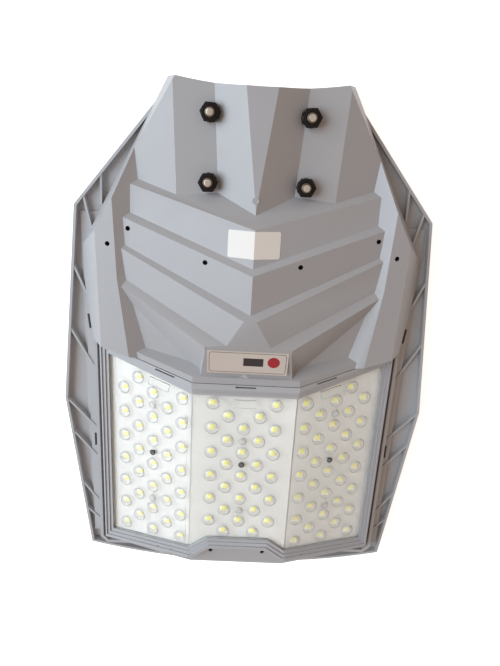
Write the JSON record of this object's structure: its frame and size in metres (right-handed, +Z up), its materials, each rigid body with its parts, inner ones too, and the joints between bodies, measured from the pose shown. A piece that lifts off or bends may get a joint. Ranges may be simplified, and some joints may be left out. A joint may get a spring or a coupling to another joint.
{
  "type": "all-in-one solar street light head",
  "caption": "Flat street light head: moulded tray and faceted cover over a folded three-sided LED lamp, with a clamp for a pole arm in its neck.",
  "frame": {"origin": "middle of the footprint, on the surface that the head lies on", "axes": "+Z up out of the lamp, +Y towards the neck that takes the pole arm, +X to the right as the lamp is looked at"},
  "size_m": [0.342, 0.471, 0.0841],
  "materials": {
    "tray_plastic": "moulded, fine texture",
    "cover_plastic": "moulded, satin",
    "bezel_plastic": "moulded, satin",
    "panel_laminate": "dark cells under clear glass",
    "soft_seal": "soft",
    "pale_seal": "pale silicone",
    "clear_plastic": "clear, polished",
    "white_board": "white solder mask",
    "emitter_yellow": "phosphor",
    "carrier_metal": "bare sheet",
    "black_screws": "blackened",
    "bright_steel": "zinc plated",
    "black_nuts": "blackened",
    "label_film": "printed film",
    "paper": "matt paper",
    "cell_jacket": "blue sleeve",
    "holder_plastic": "moulded",
    "green_board": "solder mask",
    "ferrite": "ferrite and copper",
    "can_metal": "sleeved can",
    "terminal_plastic": "moulded",
    "lead_jacket": "soft jacket"
  },
  "bodies": {
    "root": {"rear_tray": "tray_plastic", "solar_panel": "panel_laminate", "panel_seal": "soft_seal", "front_cover": "cover_plastic", "cover_screws": "black_screws", "lamp_bezel": "bezel_plastic", "lip_screws": "black_screws", "lens_plate": "clear_plastic", "lens_gasket": "pale_seal", "board_carrier": "carrier_metal", "carrier_screws": "bright_steel", "plate_screws": "black_screws", "board_left": "white_board", "board_centre": "white_board", "board_right": "white_board", "emitters_left": "emitter_yellow", "emitters_centre": "emitter_yellow", "emitters_right": "emitter_yellow", "pole_strap": "bright_steel", "clamp_bolts": "bright_steel", "clamp_washers": "bright_steel", "clamp_nuts": "black_nuts", "rating_sticker": "label_film", "paper_sticker": "paper", "battery_cells": "cell_jacket", "cell_tabs": "bright_steel", "holder_near": "holder_plastic", "holder_far": "holder_plastic", "battery_bridge": "holder_plastic", "bridge_screws": "bright_steel", "controller_board": "green_board", "controller_screws": "bright_steel", "controller_coil": "ferrite", "controller_capacitors": "can_metal", "controller_terminals": "terminal_plastic", "panel_terminal_box": "holder_plastic", "panel_lead": "lead_jacket", "battery_lead": "lead_jacket", "lamp_lead": "lead_jacket"}
  },
  "joints": []
}
